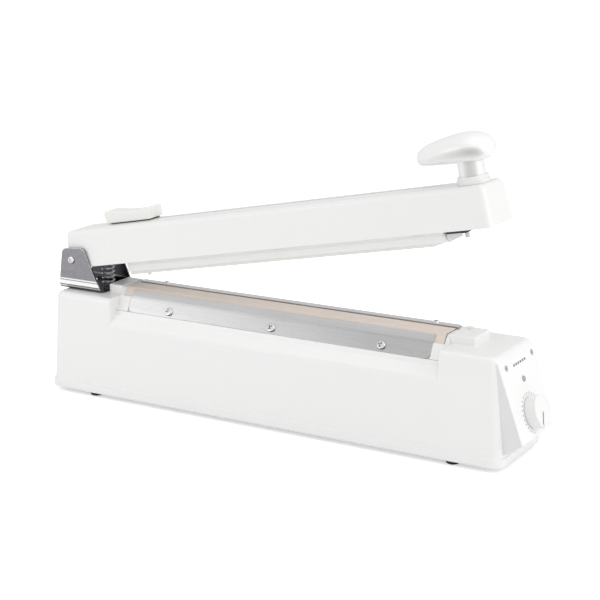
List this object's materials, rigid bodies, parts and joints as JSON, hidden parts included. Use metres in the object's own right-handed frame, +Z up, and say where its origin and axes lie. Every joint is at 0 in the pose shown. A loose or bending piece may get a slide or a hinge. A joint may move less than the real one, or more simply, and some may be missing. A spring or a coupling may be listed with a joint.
{
  "type": "impulse sealer with cutter",
  "caption": "Tabletop hand impulse heat sealer: long white drafted base with heated jaw, hinged sprung arm with pear-shaped knob, sliding film cutter and timer dial.",
  "frame": {"origin": "middle of the footprint's bounding box, on the surface that the four feet stand on", "axes": "+X from the hinge end to the control panel, +Y to the rear where the film comes in, +Z up"},
  "size_m": [0.459, 0.0816, 0.2547],
  "materials": {
    "white_body": "glossy moulded housing",
    "white_panel": "satin moulding",
    "white_arm": "glossy moulded cover",
    "plate_steel": "plain sheet",
    "black_rubber": "matt",
    "jaw_aluminium": "extruded",
    "insulation_tape": "woven tape",
    "ribbon_metal": "bright ribbon",
    "brass_terminal": "machined",
    "release_cloth": "coated glass cloth",
    "clamp_steel": "brushed along its length",
    "guide_steel": "satin strip",
    "bracket_chrome": "bright plating",
    "pin_steel": "turned",
    "spring_steel": "drawn wire",
    "lamp_lens": "smoky clear lens",
    "black_plastic": "moulded",
    "dial_white": "satin moulding",
    "core_steel": "laminated sheet",
    "coil_wrap": "tape over winding",
    "nylon_white": "moulded",
    "board_green": "coated board",
    "button_black": "moulded",
    "carrier_white": "powder coat on extrusion",
    "silicone_white": "smooth silicone",
    "knob_white": "polished",
    "collar_white": "satin",
    "slider_white": "satin moulding",
    "blade_steel": "ground edge"
  },
  "bodies": {
    "base": {"base_housing": "white_body", "base_plate": "plate_steel", "rubber_feet": "black_rubber", "jaw_bar": "jaw_aluminium", "insulation_strip": "insulation_tape", "heating_ribbon": "ribbon_metal", "ribbon_terminals": "brass_terminal", "release_cloth": "release_cloth", "clamp_plate": "clamp_steel", "rear_guide": "guide_steel", "hinge_bracket": "bracket_chrome", "hinge_pin": "pin_steel", "return_spring": "spring_steel", "control_panel": "white_panel", "indicator_lamp": "lamp_lens", "timer_body": "black_plastic", "transformer_core": "core_steel", "transformer_coil": "coil_wrap", "transformer_strap": "plate_steel", "board_standoffs": "nylon_white", "circuit_board": "board_green", "switch_case": "black_plastic", "cord_gland": "black_rubber"},
    "arm": {"arm_shell": "white_arm", "hinge_sleeve": "pin_steel", "heel_plate": "plate_steel", "jaw_carrier": "carrier_white", "silicone_strip": "silicone_white", "pusher_plate": "black_plastic", "switch_peg": "nylon_white", "handle_knob": "knob_white", "handle_collar": "collar_white", "handle_bolt": "pin_steel"},
    "cutter": {"cutter_slider": "slider_white", "cutter_carriage": "black_plastic", "cutter_blade": "blade_steel"},
    "dial": {"timer_dial": "dial_white", "timer_shaft": "pin_steel"},
    "button": {"switch_button": "button_black"}
  },
  "joints": [
    {"name": "arm_hinge", "type": "hinge", "parent": "base", "child": "arm", "pos_m": [-0.21241, 0, 0.117], "axis": [0, 1, 0], "range_deg": [0, 11], "stiffness_Nm_per_rad": 4, "springref_deg": -28.65, "deforming": ["return_spring"]},
    {"name": "cutter_slide", "type": "slide", "parent": "arm", "child": "cutter", "axis": [0.9816, 0, 0.1908], "range_m": [0, 0.28]},
    {"name": "timer_dial_turn", "type": "hinge", "parent": "base", "child": "dial", "pos_m": [0.21601, -0.003, 0.0411], "axis": [-0.9443, 0, -0.3292], "range_deg": [0, 295]},
    {"name": "switch_button_press", "type": "slide", "parent": "base", "child": "button", "axis": [0, 0, -1], "range_m": [0, 0.0015], "stiffness_N_per_m": 400, "springref_m": -0.002}
  ]
}
